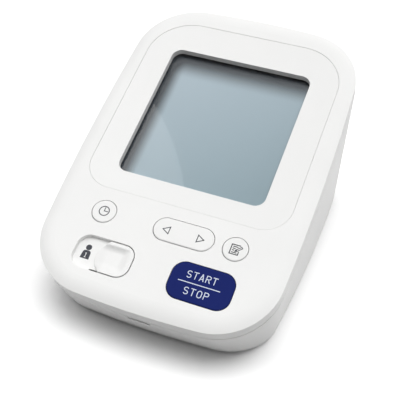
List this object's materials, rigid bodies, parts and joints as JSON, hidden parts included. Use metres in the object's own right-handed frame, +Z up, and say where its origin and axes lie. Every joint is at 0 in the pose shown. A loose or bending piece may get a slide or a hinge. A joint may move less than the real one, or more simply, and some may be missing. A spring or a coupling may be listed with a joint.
{
  "type": "blood pressure monitor",
  "caption": "Desk-top blood pressure monitor: drafted white housing with a sloping panel, large display window, push buttons, rocker, user slide and battery cover.",
  "frame": {"origin": "on the table under the middle of the housing", "axes": "+X to the user's right, +Y to the rear, +Z up; the panel rises to the rear"},
  "size_m": [0.105, 0.152, 0.0854],
  "materials": {
    "case_white": "fine moulded texture, satin",
    "plate_white": "smooth satin face sheet",
    "key_white": "satin moulded cap",
    "key_navy": "satin moulded cap, dark blue",
    "lens_clear": "clear polished window",
    "lcd_glass": "grey display cell",
    "board_green": "lacquered laminate",
    "inner_black": "moulded, matt",
    "inner_white": "moulded, natural",
    "rubber_grey": "moulded rubber",
    "silicone": "translucent silicone",
    "steel": "plated steel",
    "cell_jacket": "plain dark wrapper with metal ends"
  },
  "bodies": {
    "housing": {"upper_case": "case_white", "lower_case": "case_white", "display_plate": "plate_white", "display_lens": "lens_clear", "lcd_panel": "lcd_glass", "lcd_frame": "inner_black", "lcd_strips": "rubber_grey", "main_board": "board_green", "board_screws": "steel", "case_screws": "steel", "button_switches": "inner_black", "user_switch": "inner_black", "pressure_sensor": "inner_black", "pump_motor": "steel", "pump_head": "inner_white", "pump_sleeves": "rubber_grey", "exhaust_valve": "steel", "air_manifold": "inner_white", "air_tubes": "silicone", "air_jack": "inner_white", "air_jack_nut": "inner_white", "dc_jack": "inner_black", "battery_cells": "cell_jacket", "battery_contacts": "steel", "rubber_feet": "rubber_grey"},
    "start": {"start_button": "key_navy"},
    "clock": {"clock_button": "key_white"},
    "memo": {"memo_button": "key_white"},
    "rocker": {"arrow_rocker": "key_white"},
    "selector": {"user_knob": "key_white", "user_switch_lever": "inner_black"},
    "cover": {"battery_cover": "case_white"}
  },
  "joints": [
    {"name": "start_press", "type": "slide", "parent": "housing", "child": "start", "axis": [0, 0.4005, -0.9163], "range_m": [0, 0.0007], "stiffness_N_per_m": 2000},
    {"name": "clock_press", "type": "slide", "parent": "housing", "child": "clock", "axis": [0, 0.4005, -0.9163], "range_m": [0, 0.0007], "stiffness_N_per_m": 2000},
    {"name": "memo_press", "type": "slide", "parent": "housing", "child": "memo", "axis": [0, 0.4005, -0.9163], "range_m": [0, 0.0007], "stiffness_N_per_m": 2000},
    {"name": "rocker_tilt", "type": "hinge", "parent": "housing", "child": "rocker", "pos_m": [0.0066, -0.04118, 0.03663], "axis": [0, 0.9163, 0.4005], "range_deg": [-2, 2], "stiffness_Nm_per_rad": 0.35},
    {"name": "user_select", "type": "slide", "parent": "housing", "child": "selector", "axis": [-1, 0, 0], "range_m": [0, 0.0084]},
    {"name": "cover_hinge", "type": "hinge", "parent": "housing", "child": "cover", "pos_m": [0, -0.01515, 0.0015], "axis": [-1, 0, 0], "range_deg": [0, 75]}
  ]
}
